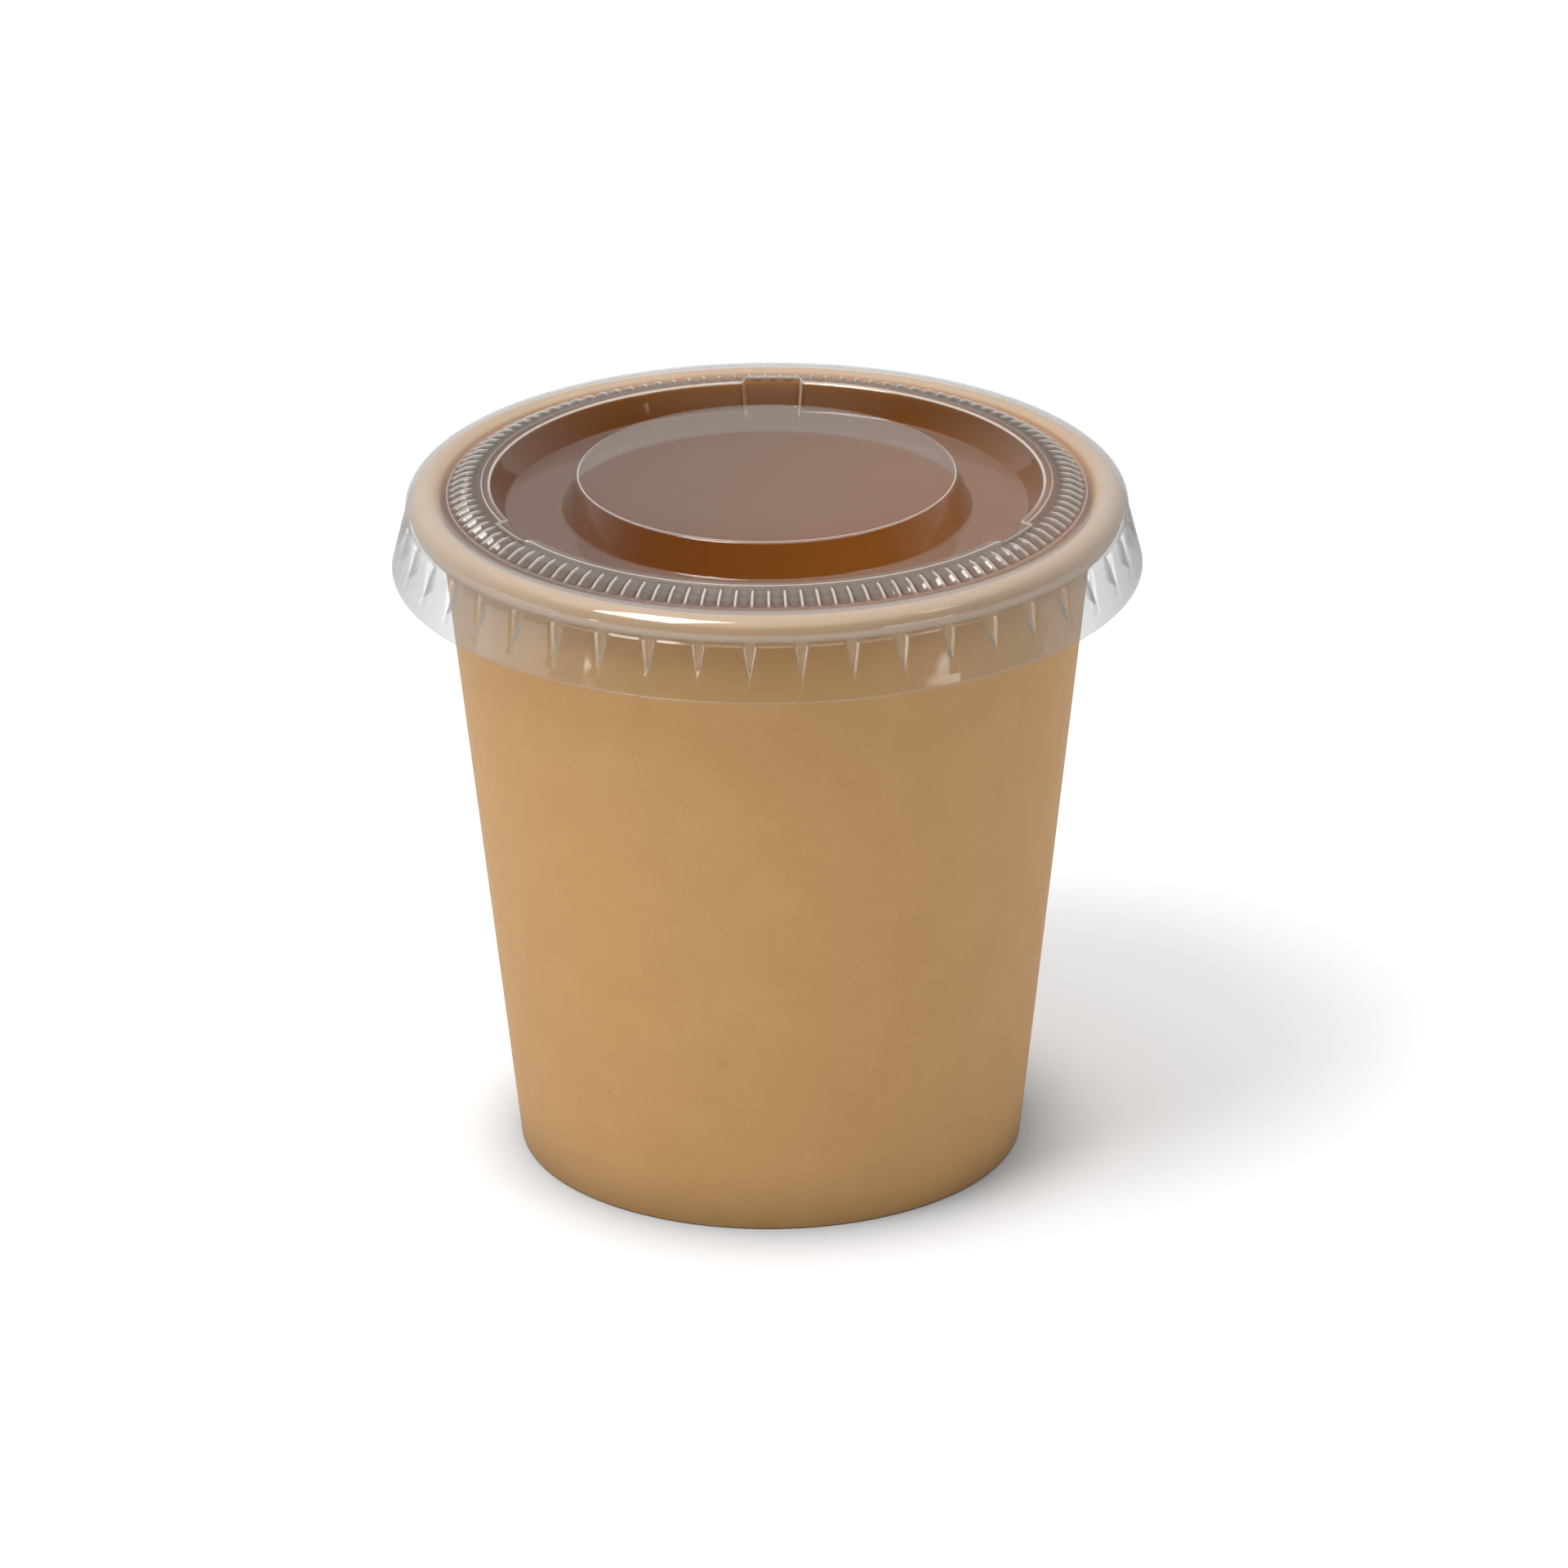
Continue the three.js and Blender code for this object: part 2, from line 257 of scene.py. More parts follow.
# %% The turned-sheet tree
class Turned(Tree):
    """A geometry tree that turns a section round the axis. A piece adds its own rule for shifts."""

    def __init__(self, name):
        super().__init__(bpy.data.node_groups.new(name, "GeometryNodeTree"))
        self.defaults = {}
        self.tree.interface.new_socket("Geometry", in_out="OUTPUT", socket_type="NodeSocketGeometry")
        self.entry = self.tree.nodes.new("NodeGroupInput")

    def given(self, name, kind, value):
        """A named input of the tree, with the value that the modifier will set."""
        item = self.tree.interface.new_socket(name, in_out="INPUT", socket_type=kind)
        self.defaults[item.identifier] = value
        return Value(self.entry.outputs[name])

    def lay_grid(self, section, columns, material):
        self.material = self.given("Material", "NodeSocketMaterial", material)
        section_in = self.given("Section", "NodeSocketObject", section)
        columns_in = self.given("Columns", "NodeSocketObject", columns)
        self.section = self.node("GeometryNodeObjectInfo", {}, {"Object": section_in})["Geometry"]
        self.columns = self.node("GeometryNodeObjectInfo", {}, {"Object": columns_in})["Geometry"]
        rows = self.node("GeometryNodeAttributeDomainSize", {}, {"Geometry": self.section})
        around = self.node("GeometryNodeAttributeDomainSize", {}, {"Geometry": self.columns})
        sockets = {"Vertices X": around + 1, "Vertices Y": rows}
        self.grid = self.node("GeometryNodeMeshGrid", {}, sockets)
        index = self.node("GeometryNodeInputIndex")
        self.column = (index / rows + 1e-4).floor()
        self.row = index - self.column * rows
        snapped = (self.column / self.mark("skip")).floor() * self.mark("skip")
        self.snapped = snapped % around
        self.angle = self.column_mark("angle")

    def sample(self, source, name, index):
        field = self.node("GeometryNodeInputNamedAttribute", {}, {"Name": name})
        settings = {"data_type": "FLOAT", "domain": "POINT"}
        sockets = {"Geometry": source, "Value": field, "Index": index}
        return self.node("GeometryNodeSampleIndex", settings, sockets)

    def mark(self, name):
        """A number that the section's points carry, read for each crossing of the grid."""
        return self.sample(self.section, name, self.row)

    def column_mark(self, name):
        """A number that the columns carry, read for each crossing of the grid."""
        return self.sample(self.columns, name, self.snapped)

    def finish(self, radius, height, marks, flip):
        """Moves each crossing to its radius and height, welds and closes the skin.

        A section that runs outwards over the top needs flip for its faces to point outwards."""
        turned = self.angle.math("RADIANS")
        x, y = turned.math("COSINE") * radius, turned.math("SINE") * radius
        place = self.node("ShaderNodeCombineXYZ", {}, {"X": x, "Y": y, "Z": height})
        skin = self.node("GeometryNodeSetPosition", {}, {"Geometry": self.grid, "Position": place})
        for name, value in marks.items():
            settings = {"data_type": "FLOAT", "domain": "POINT"}
            sockets = {"Geometry": skin, "Name": name, "Value": value}
            skin = self.node("GeometryNodeStoreNamedAttribute", settings, sockets)
        skin = self.node("GeometryNodeMergeByDistance", {}, {"Geometry": skin, "Distance": 1e-6})
        if flip:
            skin = self.node("GeometryNodeFlipFaces", {}, {"Mesh": skin})
        skin = self.node("GeometryNodeSetShadeSmooth", {}, {"Geometry": skin})
        skin = self.node("GeometryNodeRealizeInstances", {}, {"Geometry": skin})
        skin = self.node("GeometryNodeSetMaterial", {}, {"Geometry": skin, "Material": self.material})
        self.end("NodeGroupOutput", skin)


def turned_mesh(name, tree, helpers):
    """Runs a finished tree once and keeps its result as a plain mesh object."""
    host = bpy.data.objects.new(name + "_host", bpy.data.meshes.new(name + "_host"))
    bpy.context.scene.collection.objects.link(host)
    modifier = host.modifiers.new("turned", "NODES")
    modifier.node_group = tree.tree
    for identifier, value in tree.defaults.items():
        modifier[identifier] = value
    evaluated = host.evaluated_get(bpy.context.evaluated_depsgraph_get())
    mesh = bpy.data.meshes.new_from_object(evaluated)
    mesh.name = name
    for helper in (host, *helpers):
        bpy.data.objects.remove(helper)
    piece = bpy.data.objects.new(name, mesh)
    bpy.context.scene.collection.objects.link(piece)
    mesh.calc_loop_triangles()
    print(name, "has", len(mesh.loop_triangles), "triangles")
    return piece


print("turning tree ready")

# %% [markdown]
# ## Kraft board
#
# Kraft board is pressed brown wood fibre. Close up it shows soft clouds a few millimetres across,
# where the fibres lie thicker or thinner, single fibres as short curling threads, and a few dark
# specks of bark. All of it is faint: the cup looks almost plain from a metre away. Noise at three
# scales gives the clouds and the grain, a thin band cut out of a noise field gives curling threads,
# and scattered cells of a Voronoi pattern give specks. Coordinates are the object's own, so the
# pattern is solid and runs over edges without a seam. The board is coated on its inner side, which
# makes it deeper in colour and a little glossier, and the mesh says where with a number: inside.
# That deeper colour is partly painted shade: the tint is darker than the coating alone would make it,
# and stands for the shade inside the cup and on the inner side of the rolled rim.

# %% Kraft board finish
def finish_material(name):
    material = bpy.data.materials.new(name)
    material.use_nodes = True
    material.node_tree.nodes.clear()
    return material, Tree(material.node_tree)


def noise(tree, place, per_mm, detail=2.0, roughness=0.5, distortion=0.0):
    """A noise field centred on 0, with this many features to the millimetre."""
    sockets = {"Vector": place, "Scale": per_mm / MM, "Detail": detail, "Roughness": roughness}
    made = tree.node("ShaderNodeTexNoise", {}, {**sockets, "Distortion": distortion})
    return made - 0.5


def kraft_board(name, pale, deep):
    material, tree = finish_material(name)
    place = tree.node("ShaderNodeTexCoord")["Object"]
    clouds = noise(tree, place, 0.16, 3.0) * 0.9 + noise(tree, place, 0.55, 3.0) * 0.5
    grain = noise(tree, place, 3.2, 3.0)
    thread_field = noise(tree, place, 0.8, 1.0, 0.4, 1.5)
    threads = tree.ease(abs(thread_field), 0.0, 0.014, 1.0, 0.0)
    threads = threads * tree.ease(noise(tree, place, 0.7, 1.0), 0.02, 0.10)
    cell = tree.node("ShaderNodeTexVoronoi", {}, {"Vector": place, "Scale": 0.42 / MM})
    lot = tree.node("ShaderNodeSeparateColor", {}, {"Color": cell["Color"]})
    speck_size = tree.ease(lot, 0.6, 1.0, 0.0, 0.05)
    specks = tree.ease(cell - speck_size, -0.02, 0.004, 1.0, 0.0)
    tone = (clouds * 0.8 + grain * 0.6 + 0.5 - threads * 0.25).least(1).most(0)
    board = tree.node("ShaderNodeMix", {"data_type": "RGBA"}, {"Factor": tone, "A": deep, "B": pale})
    sockets = {"Factor": specks * 0.6, "A": board, "B": BARK}
    colour = tree.node("ShaderNodeMix", {"data_type": "RGBA"}, sockets)
    # inside leads the coating's tint, which is partly painted shade for the inside of the cup
    inside = tree.node("ShaderNodeAttribute", {"attribute_name": "inside"})["Fac"]
    sockets = {"Factor": inside, "A": (1, 1, 1, 1), "B": COATING_AND_SHADE_TINT}
    coat = tree.node("ShaderNodeMix", {"data_type": "RGBA"}, sockets)
    sockets = {"Factor": 1.0, "A": colour, "B": coat}
    colour = tree.node("ShaderNodeMix", {"data_type": "RGBA", "blend_type": "MULTIPLY"}, sockets)
    relief = grain * 0.5 + threads * 0.3 + noise(tree, place, 9.0, 1.0) * 0.3
    bump = tree.node(
        "ShaderNodeBump", {}, {"Strength": 0.25, "Distance": 0.03 * MM, "Height": relief}
    )
    sockets = {
        "Base Color": colour,
        "Roughness": 0.64 + grain * 0.25 - inside * 0.22,
        "Specular IOR Level": 0.25,
        "Normal": bump,
    }
    shader = tree.node("ShaderNodeBsdfPrincipled", {}, sockets)
    tree.end("ShaderNodeOutputMaterial", shader)
    return material


KRAFT_PALE = (0.545, 0.312, 0.125, 1)
KRAFT_DEEP = (0.465, 0.255, 0.092, 1)
BASE_PALE = (0.525, 0.297, 0.118, 1)
BASE_DEEP = (0.445, 0.240, 0.086, 1)
BARK = (0.16, 0.075, 0.03, 1)
COATING_AND_SHADE_TINT = (0.80, 0.49, 0.13, 1)  # the coating deepens the fibres, and painted shade for the cup's inside deepens them further
board_finish = kraft_board("kraft_board", KRAFT_PALE, KRAFT_DEEP)
base_finish = kraft_board("kraft_base", BASE_PALE, BASE_DEEP)
print("made", board_finish.name, "and", base_finish.name)

# %% [markdown]
# ## The wall of the cup
#
# One sheet makes cone, rim and hem, so its section is one closed band of board: down the inside,
# in and up round the hem, then back up the outside and round the rolled rim. Where its two edges
# lap, the outer one stands proud along one line, by less than its thickness because the glued lap
# is pressed. That is a rule on the angle, so the tree shifts only the outer face there, and the
# step dies away before the rim, where the rolling has pressed it flat.

# %% Sizes of the board, in mm
base_low, base_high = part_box("cup_base")
lid_low, lid_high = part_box("lid")

PAPER = 0.4
GAP = 0.05
CURL_HALF_WIDTH = 1.42
CURL_HALF_HEIGHT = 1.42
CURL_RADIUS = 30.4
CURL_HEIGHT = 60.78
FOOT_RADIUS = 22.75
RIM_FOOT = 58.75
TAPER = 0.1082
BASE_TOP = base_high.z / MM
FLANGE_FOOT = base_low.z / MM
HEM_TOP = 5.0
FOLD_FLOOR = 0.4
SEAM_ANGLE = 90.0
SEAM_WIDTH = 14.0
SEAM_STEP = 0.27
ROLL_COATING_AND_SHADE = 0.75  # how much of the coating's colour, with its painted shade, lies over the roll


def wall_outer(height):
    return FOOT_RADIUS + TAPER * height


def wall_inner(height):
    return wall_outer(height) - PAPER


def flange_outer(height):
    return wall_inner(height) - GAP


def hem_outer(height):
    return flange_outer(height) - PAPER - GAP


def hem_inner(height):
    return hem_outer(height) - PAPER


print("rim radius", round(CURL_RADIUS + CURL_HALF_WIDTH, 2), "taper", round(TAPER, 4))

# %% Cup wall
def straight(side, start, end, steps, **marks):
    """Corners up or down one face of the cone, with both ends."""
    heights = [start + (end - start) * k / steps for k in range(steps + 1)]
    return [point(side(h), h, **marks) for h in heights]


def wall_section():
    round_edge = 0.15
    lap = {"lap": SEAM_STEP}
    outside = straight(wall_outer, round_edge, RIM_FOOT - 5, 10, **lap)
    top = straight(wall_outer, RIM_FOOT - 3, RIM_FOOT, 2)
    roll = (CURL_RADIUS, CURL_HEIGHT)
    inner_roll = oval(*roll, CURL_HALF_WIDTH - PAPER, CURL_HALF_HEIGHT - PAPER, 180, -120, 16)
    outer_roll = oval(*roll, CURL_HALF_WIDTH, CURL_HALF_HEIGHT, -120, 120, 21)
    # the roll's inner top takes the coating's tint, which also paints the shade in the groove under
    # the lid
    outer_roll += oval(*roll, CURL_HALF_WIDTH, CURL_HALF_HEIGHT, 135, 180, 4, inside=ROLL_COATING_AND_SHADE)
    inside = straight(wall_inner, RIM_FOOT - 1, FOLD_FLOOR, 8, inside=1)
    hem = straight(hem_outer, FOLD_FLOOR, HEM_TOP, 3) + straight(hem_inner, HEM_TOP, round_edge, 3)
    foot = [
        point(hem_inner(0) + round_edge, 0),
        point(wall_outer(0) - round_edge, 0, **lap),
    ]
    return spread(foot + outside + top + inner_roll + outer_roll + inside + hem, skip=1)


def seam_columns(columns):
    """Even columns, with close ones where the cut edge of the lap steps up."""
    edge = [SEAM_ANGLE + d for d in (-0.2, -0.03, 0.03, 0.2, 0.6)]
    step = 360 / columns
    even = [k * step for k in range(columns)]
    plain = [a for a in even if not edge[0] - step / 2 < a < edge[-1] + step / 2]
    return sorted(plain + edge)


def make_cup_wall():
    section = wall_section()
    section_object = section_helper("wall_section", section + section[:1])
    columns = column_helper("wall_columns", seam_columns(360))
    tree = Turned("turn_cup_wall")
    tree.lay_grid(section_object, columns, board_finish)
    cut = tree.given("Seam Angle", "NodeSocketFloat", SEAM_ANGLE)
    width = tree.given("Seam Width", "NodeSocketFloat", SEAM_WIDTH)
    past = (tree.angle - cut + 180) % 360 - 180
    lap = tree.ease(past, -0.03, 0.03) * tree.ease(past, width * 0.7, width, 1.0, 0.0)
    radius = tree.mark("radius") + tree.mark("lap") * lap
    tree.finish(radius, tree.mark("height"), {"inside": tree.mark("inside")}, flip=False)
    return turned_mesh("paper_wall", tree, (section_object, columns))


paper_wall = make_cup_wall()

# %% [markdown]
# ## The base
#
# The base is a flat disc with its edge turned down into the hem. It turns from a section that
# starts and ends on the axis, and needs no rule of its own.

# %% Cup base
BASE_PAPER = 0.35
BASE_BEND = 0.4


def base_section():
    top, bottom = BASE_TOP, BASE_TOP - BASE_PAPER
    rim = flange_outer(top)
    inner = rim - BASE_PAPER
    over = oval(rim - BASE_BEND, top - BASE_BEND, BASE_BEND, BASE_BEND, 90, 0, 5)
    flange_foot = flange_outer(FLANGE_FOOT)
    outer = line((rim, top - BASE_BEND), (flange_foot, FLANGE_FOOT), 4)
    under = oval(inner - 0.1, bottom - 0.1, 0.1, 0.1, 0, 90, 3)
    back = line((flange_foot - BASE_PAPER, FLANGE_FOOT), (inner, bottom - 0.1), 4)
    disc = [point(r, top, inside=1) for r in (0, 8, 16, rim - 1.2)]
    foot = [point(flange_foot, FLANGE_FOOT), point(flange_foot - BASE_PAPER, FLANGE_FOOT)]
    below = [point(16, bottom), point(8, bottom), point(0, bottom)]
    return spread(disc + over + outer + foot + back + under + below, skip=1)


def make_cup_base():
    section_object = section_helper("base_section", base_section())
    columns = column_helper("base_columns", [k * 360 / 240 for k in range(240)])
    tree = Turned("turn_cup_base")
    tree.lay_grid(section_object, columns, base_finish)
    marks = {"inside": tree.mark("inside")}
    tree.finish(tree.mark("radius"), tree.mark("height"), marks, flip=True)
    return turned_mesh("paper_base", tree, (section_object, columns))


paper_base = make_cup_base()

# %% [markdown]
# ## Clear film
#
# A film this thin doesn't bend what is seen through it. What makes it visible is what it mirrors:
# little where it is met head on, more at a glancing angle, and most at each tight bend, which
# catches light from all sides. So a Mix Shader goes from a clear Transparent shader to a sharp
# Glossy one. Three more lay a share of plain Diffuse colour over it, each led by a number that the
# mesh carries:
#
# - veil: the greyness of stretched film on bead and skirt, seen best at a glancing angle;
# - shade: painted shade over the fluted band, whose beds hold little light;
# - bend: the milky line along each tight bend.
#
# Real refraction would cost far more rays, and lamps would no longer light the cup through the lid.

# %% Clear film finish
FILM_TINT = (0.985, 0.988, 0.985, 1)
MIRROR_TINT = (0.80, 0.78, 0.75, 1)
HEAD_ON_MIRROR = 0.042
GLANCING_MIRROR = 0.2
MIRROR_ROUGHNESS = 0.045
WAVE_HEIGHT = 0.12 * MM  # the film isn't quite even, so what it mirrors wavers
GREY = (0.34, 0.335, 0.33, 1)
HEAD_ON_GREY = 0.004
GLANCING_GREY = 0.18
VEIL_GREY = 0.12
SHADE = (0.05, 0.045, 0.04, 1)
SHADE_SHARE = 0.24
SHADE_GLINT = 1.3
BEND_GLINT = 3.0
MILK = (0.88, 0.84, 0.77, 1)
MILK_SHARE = 0.47


def clear_film(name):
    material, tree = finish_material(name)
    place = tree.node("ShaderNodeTexCoord")["Object"]
    glancing = tree.node("ShaderNodeLayerWeight", {}, {"Blend": 0.5})["Facing"]
    shade = tree.node("ShaderNodeAttribute", {"attribute_name": "shade"})["Fac"]
    bend = tree.node("ShaderNodeAttribute", {"attribute_name": "bend"})["Fac"]
    glint = 1 + shade * SHADE_GLINT + bend * BEND_GLINT
    mirror = HEAD_ON_MIRROR * glint + glancing ** 5 * GLANCING_MIRROR
    waves = noise(tree, place, 0.22, 1.0) + noise(tree, place, 0.6, 1.0) * 0.08
    sockets = {"Strength": 0.3, "Distance": WAVE_HEIGHT, "Height": waves}
    bump = tree.node("ShaderNodeBump", {}, sockets)
    clear = tree.node("ShaderNodeBsdfTransparent", {}, {"Color": FILM_TINT})
    sockets = {"Color": MIRROR_TINT, "Roughness": MIRROR_ROUGHNESS, "Normal": bump}
    gloss = tree.node("ShaderNodeBsdfAnisotropic", {}, sockets)
    film = tree.node("ShaderNodeMixShader", {}, {0: mirror, 1: clear, 2: gloss})
    veil = tree.node("ShaderNodeAttribute", {"attribute_name": "veil"})["Fac"]
    grey_share = HEAD_ON_GREY + glancing ** 2 * GLANCING_GREY + glancing * veil * VEIL_GREY
    grey_share = grey_share * (1 - bend)
    grey = tree.node("ShaderNodeBsdfDiffuse", {}, {"Color": GREY})
    greyed = tree.node("ShaderNodeMixShader", {}, {0: grey_share, 1: film, 2: grey})
    # a dark Diffuse coat: painted shade over the fluted band
    dark = tree.node("ShaderNodeBsdfDiffuse", {}, {"Color": SHADE})
    shaded = tree.node("ShaderNodeMixShader", {}, {0: shade * SHADE_SHARE, 1: greyed, 2: dark})
    milk = tree.node("ShaderNodeBsdfDiffuse", {}, {"Color": MILK})
    milked = tree.node("ShaderNodeMixShader", {}, {0: bend * MILK_SHARE, 1: shaded, 2: milk})
    tree.end("ShaderNodeOutputMaterial", milked)
    return material


film_finish = clear_film("clear_film")
print("made", film_finish.name)

# %% [markdown]
# ## The lid
#
# From the middle outwards the lid has a raised centre, a channel, a narrow land, a shoulder with
# 120 flutes, a plain ring, a bead over the cup's rim, and a skirt with 45 lugs that catch under
# the rim. The channel's wall has three pockets. All of it repeats round the axis, so it is a rule
# on the angle: how far a point is from the nearest ridge, lug or pocket sets how far it moves.
#
# A flute needs columns at its ridges and a lug needs them at its walls, and the two don't fall in
# step. So each column carries two places, one for the flutes and one for the lugs, and slides from
# the first to the second as it runs down over the bead.

# %% Sizes of the lid, in mm
FILM = 0.16
BEND = 0.3  # the radius of a bend in the channel
DISC_BEND = 0.4
EDGE_BEND = 0.5
LIP_BEND = 0.13
LID_TOP = lid_high.z / MM
SKIRT_FOOT = lid_low.z / MM
SKIRT_RADIUS = lid_high.x / MM
BOSS_RADIUS = 17.1
BOSS_FOOT_RADIUS = 18.2
CHANNEL_FLOOR = 60.65
CHANNEL_RADIUS = 23.4
LAND_RADIUS = 24.5
LAND_HEIGHT = 63.0
LAND_WIDTH = 1.0
LAND_RISE = 0.12
KNEE_RADIUS = 27.1
KNEE_SOFTNESS = 0.3
SHOULDER_RADIUS = 28.45
RING_HEIGHT = 62.2
BEAD_TOP_RADIUS = 30.45
BEAD_TOP = 62.6
BEAD_OUTER_RADIUS = 32.25
BEAD_HALF_HEIGHT = 1.8
NECK_RADIUS = 32.05
NECK_HEIGHT = 60.35
SKIRT_TOP_RADIUS = 32.35
SKIRT_TOP = 59.95
SKIRT_RIM_BEND = 0.1
RING_BEND_MARK = 0.35
BEAD_BEND_MARK = 0.16
BEAD_VEIL = 3.1
SKIRT_VEIL = 4

FLUTES = 120
FLUTE_ANGLE = 0.3
FLUTE_DEPTH = 0.42
FLUTE_HEAD = 0.7  # how far a flute's head is rounded
FLUTE_RISE = 0.9
FLUTE_FADE = 0.4
RIDGE_SHARPNESS = 2.2
RIDGE_LINE = 0.78  # the share of the way up to a ridge where its milky line starts
LUGS = 45
LUG_ANGLE = 251.3
LUG_HALF_WIDTH = 1.1  # in degrees, and so is the wall of a lug
LUG_WALL = 0.5
LUG_TIP_HEIGHT = 57.4
LUG_GATHERING = 0.9  # how far a dent narrows down to its tip
VALLEY_RADIUS = 31.95
VALLEY_SLOPE = 0.13
CREASE_LEAST = 0.1
CREASE_MIDDLE = 0.7
DENT_CLEARING = 0.9  # how much of the skirt's veil is gone inside a dent
LUG_RANDOM = random.Random(7)
POCKETS = 3
POCKET_ANGLE = 88.75
POCKET_DEPTH = 1.2
POCKET_HALF_WIDTH = 6.4  # in degrees, and so is its corner
POCKET_CORNER = 1.0
POCKET_SIDE_MARK = 0.6
CENTRE_SKIP = 4
PLAIN_SKIP = 2


def step_up(x, start, end):
    t = min(max((x - start) / (end - start), 0.0), 1.0)
    return t * t * (3 - 2 * t)


# %% Section of the lid's upper face
def centre_stretch():
    """The raised centre, its wall and the channel's floor."""
    marks = {"skip": CENTRE_SKIP}
    disc = [point(r, LID_TOP, **marks) for r in (0, 6, 12)]
    round_edge = (BOSS_RADIUS - DISC_BEND, LID_TOP - DISC_BEND, DISC_BEND, DISC_BEND)
    edge = oval(*round_edge, 90, 50, 4, bend=1, **marks) + oval(*round_edge, 38, 18, 2, **marks)
    wall_top = (edge[-1]["radius"], edge[-1]["height"])
    foot = oval(BOSS_FOOT_RADIUS + BEND, CHANNEL_FLOOR + BEND, BEND, BEND, 198, 270, 4, **marks)
    wall_foot = (foot[0]["radius"], foot[0]["height"])
    wall = line(wall_top, wall_foot, 3, **marks)
    floor = [point(r, CHANNEL_FLOOR, **marks) for r in (BOSS_FOOT_RADIUS + 1.0, 21.0)]
    return disc + edge + wall + foot + floor


def channel_stretch():
    """The channel's outer wall and the land, which the pockets push outwards."""
    marks = {"skip": 1, "pocket_depth": POCKET_DEPTH}
    top = LAND_HEIGHT + LAND_RISE
    land_end = LAND_RADIUS + LAND_WIDTH
    foot = oval(CHANNEL_RADIUS - BEND, CHANNEL_FLOOR + BEND, BEND, BEND, 270, 340, 4, **marks)
    round_edge = (LAND_RADIUS + EDGE_BEND, top - EDGE_BEND, EDGE_BEND, EDGE_BEND)
    edge = oval(*round_edge, 160, 90, 6, bend=1, **marks)
    wall_foot = (foot[-1]["radius"], foot[-1]["height"])
    wall_top = (edge[0]["radius"], edge[0]["height"])
    wall = line(wall_foot, wall_top, 3, **marks)
    lip = {**marks, "pocket_depth": 0.35 * POCKET_DEPTH}
    outer = oval(land_end - LIP_BEND, top - LIP_BEND, LIP_BEND, LIP_BEND, 90, 20, 2, bend=1, **lip)
    return foot + wall + edge + outer


def shoulder_stretch():
    """From the land over a soft knee down to the plain ring. Here the flutes are cut."""
    start = LAND_RADIUS + LAND_WIDTH + 0.25
    slope = (LAND_HEIGHT - RING_HEIGHT) / (SHOULDER_RADIUS - KNEE_RADIUS)
    corners = []
    steps = 15
    for k in range(steps + 1):
        radius = start + (SHOULDER_RADIUS - start) * k / steps
        past_knee = radius - KNEE_RADIUS
        drop = slope * 0.5 * (past_knee + math.hypot(past_knee, KNEE_SOFTNESS))
        height = max(LAND_HEIGHT - drop, RING_HEIGHT)
        fluted = 1 - step_up(radius, SHOULDER_RADIUS - FLUTE_FADE, SHOULDER_RADIUS)
        marks = {"skip": 1, "beyond": radius - start, "fluted": fluted, "shade": fluted}
        corners.append(point(radius, height, **marks))
    return corners


def ring_stretch():
    """The plain ring and the bead over the rolled rim."""
    marks = {"skip": PLAIN_SKIP}
    low = RING_HEIGHT - 0.02
    ring = [
        point(SHOULDER_RADIUS + 0.07, low, bend=RING_BEND_MARK, **marks),
        point(SHOULDER_RADIUS + 0.15, low, **marks),
        point(29.0, low, **marks),
    ]
    middle = BEAD_TOP - BEAD_HALF_HEIGHT
    width = BEAD_OUTER_RADIUS - BEAD_TOP_RADIUS
    bead = oval(BEAD_TOP_RADIUS, middle, width, BEAD_HALF_HEIGHT, 126, -6, 16, **marks)
    for k, corner in enumerate(bead):
        veil = BEAD_VEIL * min(1, k / 4)
        corner.update(bend=BEAD_BEND_MARK, veil=veil, to_lugs=k / (len(bead) - 1))
    return ring + bead


def skirt_stretch():
    """The neck and the flared skirt, with lugs that are pressed in and narrow to a tip."""
    marks = {"veil": SKIRT_VEIL, "to_lugs": 1}
    corners = [
        point(NECK_RADIUS, NECK_HEIGHT, skip=1, **marks),
        point(NECK_RADIUS + 0.08, NECK_HEIGHT - 0.12, skip=1, **marks),
        point(NECK_RADIUS + 0.2, NECK_HEIGHT - 0.26, skip=1, lug_depth=0.2, creased=0.5, **marks),
    ]
    steps = 9
    for k in range(steps + 1):
        height = SKIRT_TOP + (LUG_TIP_HEIGHT - 0.12 - SKIRT_TOP) * k / steps
        share = (height - LUG_TIP_HEIGHT) / (SKIRT_TOP - LUG_TIP_HEIGHT)
        depth = skirt_radius(height) - valley_radius(height)
        corners.append(
            point(
                skirt_radius(height), height, skip=1, **marks,
                lug_depth=depth * step_up(share, -0.05, 0.12),
                gathered=LUG_GATHERING * min(1 - share, 1),
                creased=step_up(share, -0.04, 0.06),
            )
        )
    plain = [point(skirt_radius(h), h, skip=PLAIN_SKIP, **marks) for h in (56.2, 55.5)]
    rim = SKIRT_FOOT + SKIRT_RIM_BEND
    return corners + plain + [point(skirt_radius(rim), rim, skip=PLAIN_SKIP, **marks)]


def valley_radius(height):
    return VALLEY_RADIUS + VALLEY_SLOPE * (SKIRT_TOP - height)


def skirt_radius(height):
    share = (SKIRT_TOP - height) / (SKIRT_TOP - SKIRT_FOOT)
    return SKIRT_TOP_RADIUS + (SKIRT_RADIUS - SKIRT_TOP_RADIUS) * share


